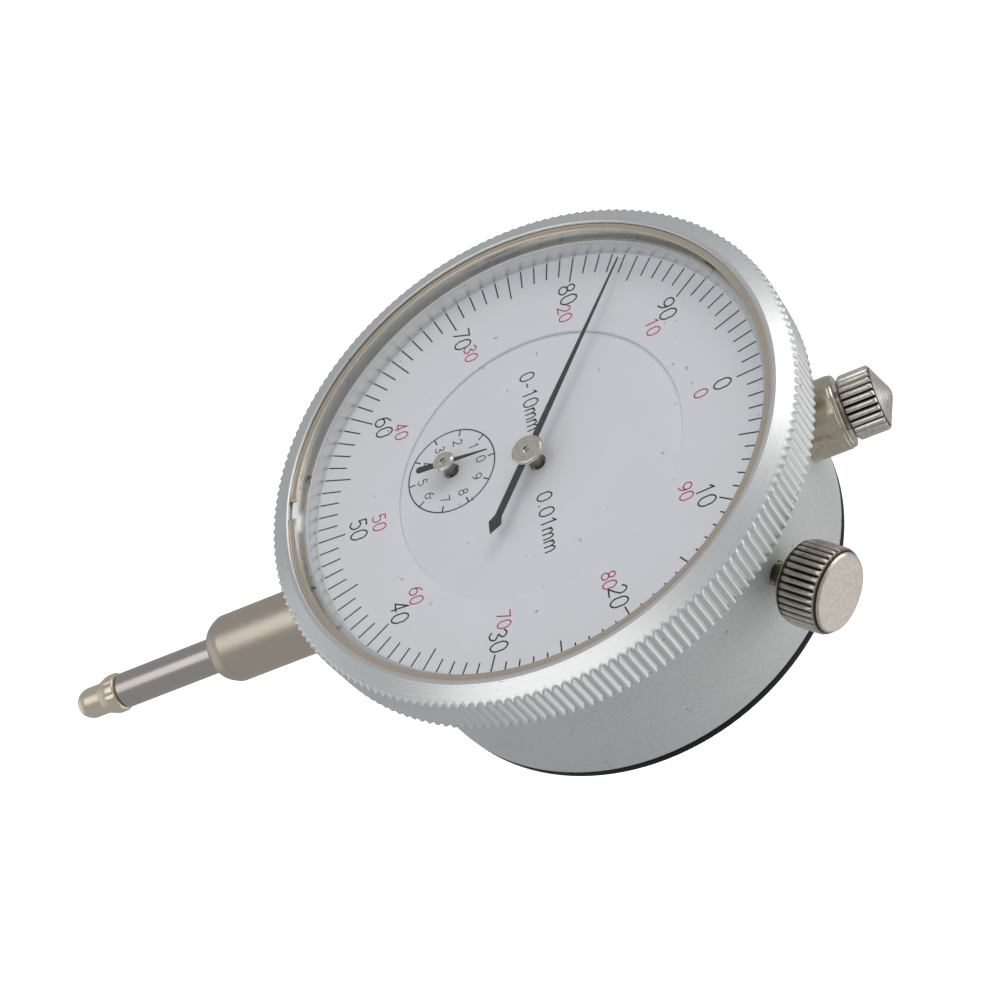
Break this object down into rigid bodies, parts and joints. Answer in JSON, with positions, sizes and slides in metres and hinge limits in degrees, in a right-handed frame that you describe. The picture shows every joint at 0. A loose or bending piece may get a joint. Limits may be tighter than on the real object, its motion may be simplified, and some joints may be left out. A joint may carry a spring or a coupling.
{
  "type": "dial indicator",
  "caption": "Round plunger dial indicator with a knurled turning bezel, a counter sub-dial, a clamping stem, a sprung spindle with a contact point and a lift cap, and a bezel lock screw.",
  "frame": {"origin": "on the stem's axis, halfway along the straight length that a clamp grips", "axes": "+Z along the spindle from the contact point to the lift cap, -Y out of the dial's face, +X towards the dial's right"},
  "size_m": [0.06, 0.0407, 0.1013],
  "materials": {
    "case_paint": "satin, fine texture",
    "bezel_metal": "satin",
    "stem_nickel": "satin nickel plate",
    "bush_nickel": "polished nickel plate",
    "cover_plastic": "fine grain",
    "screw_steel": "plated",
    "movement_brass": "brushed",
    "bearing_bronze": "turned",
    "movement_steel": "turned",
    "blued_steel": "blued",
    "spring_steel": "drawn wire",
    "dial_enamel": "satin print ground",
    "dial_foot_copper": "plain",
    "crystal_clear": "clear",
    "ring_bronze": "rolled",
    "spindle_steel": "ground",
    "contact_brass": "turned",
    "cap_nickel": "polished",
    "hand_black": "satin",
    "hub_nickel": "polished",
    "thread_steel": "dark",
    "knob_nickel": "satin nickel plate"
  },
  "bodies": {
    "case": {"case_shell": "case_paint", "stem": "stem_nickel", "top_bush": "bush_nickel", "back_cover": "cover_plastic", "cover_screws": "screw_steel", "web_bushes": "bearing_bronze", "bridge": "movement_brass", "bridge_bushes": "bearing_bronze", "bridge_posts": "movement_steel", "bridge_screws": "blued_steel", "rear_plate": "movement_brass", "rear_plate_bush": "bearing_bronze", "plate_posts": "movement_steel", "plate_screws": "blued_steel", "guide_rail": "movement_steel", "guide_screws": "blued_steel", "spring_post": "movement_steel", "measuring_spring": "spring_steel", "hairspring": "blued_steel", "hairspring_stud": "bearing_bronze", "dial_centre": "dial_enamel", "dial_feet": "dial_foot_copper", "bezel_wire": "spring_steel"},
    "bezel_set": {"bezel": "bezel_metal", "dial_ring": "dial_enamel", "crystal": "crystal_clear", "crystal_ring": "ring_bronze"},
    "spindle_set": {"spindle": "spindle_steel", "guide_pin": "movement_steel", "contact_point": "contact_brass", "lift_cap": "cap_nickel"},
    "hand_set": {"centre_arbor": "movement_steel", "hand": "hand_black", "hand_hub": "hub_nickel"},
    "counter_set": {"count_arbor": "movement_steel", "count_wheel": "movement_brass", "count_hand": "hand_black", "count_hub": "hub_nickel"},
    "takeup_set": {"takeup_arbor": "movement_steel", "takeup_wheel": "movement_brass", "hairspring_collet": "bearing_bronze"},
    "lock_tip_set": {"lock_tip": "bearing_bronze"},
    "lock_screw_set": {"lock_screw": "thread_steel", "lock_knob": "knob_nickel"},
    "plunger_set": {"brake_plunger": "bearing_bronze"}
  },
  "joints": [
    {"name": "bezel_turn", "type": "hinge", "parent": "case", "child": "bezel_set", "pos_m": [0, 0, 0.03525], "axis": [0, 1, 0], "continuous": true},
    {"name": "spindle_slide", "type": "slide", "parent": "case", "child": "spindle_set", "axis": [0, 0, 1], "range_m": [0, 0.0102], "stiffness_N_per_m": 60, "springref_m": -0.012, "deforming": ["measuring_spring"]},
    {"name": "hand_turn", "type": "hinge", "parent": "case", "child": "hand_set", "pos_m": [0, 0, 0.03525], "axis": [0, 1, 0], "range_deg": [-5, 3700]},
    {"name": "counter_turn", "type": "hinge", "parent": "case", "child": "counter_set", "pos_m": [-0.00339, 0, 0.02537], "axis": [0, 1, 0], "range_deg": [-372, 2]},
    {"name": "takeup_turn", "type": "hinge", "parent": "case", "child": "takeup_set", "pos_m": [0.00339, 0, 0.04513], "axis": [0, 1, 0], "range_deg": [-372, 2]},
    {"name": "lock_slide", "type": "slide", "parent": "case", "child": "lock_tip_set", "axis": [0.6468, 0, 0.7627], "range_m": [0, 0.00045]},
    {"name": "lock_turn", "type": "hinge", "parent": "lock_tip_set", "child": "lock_screw_set", "pos_m": [0.0194, -0.0008, 0.05813], "axis": [0.6468, 0, 0.7627], "range_deg": [-2, 362]},
    {"name": "plunger_slide", "type": "slide", "parent": "case", "child": "plunger_set", "axis": [0, 1, 0], "range_m": [0, 0.00046]}
  ],
  "couplings": [
    {"joint": "hand_turn", "follows": "spindle_slide", "rad_per_m": 6283.2},
    {"joint": "counter_turn", "follows": "spindle_slide", "rad_per_m": -628.32},
    {"joint": "takeup_turn", "follows": "spindle_slide", "rad_per_m": -628.32},
    {"joint": "lock_turn", "follows": "lock_slide", "rad_per_m": 13963},
    {"joint": "plunger_slide", "follows": "lock_slide", "ratio": 1}
  ]
}
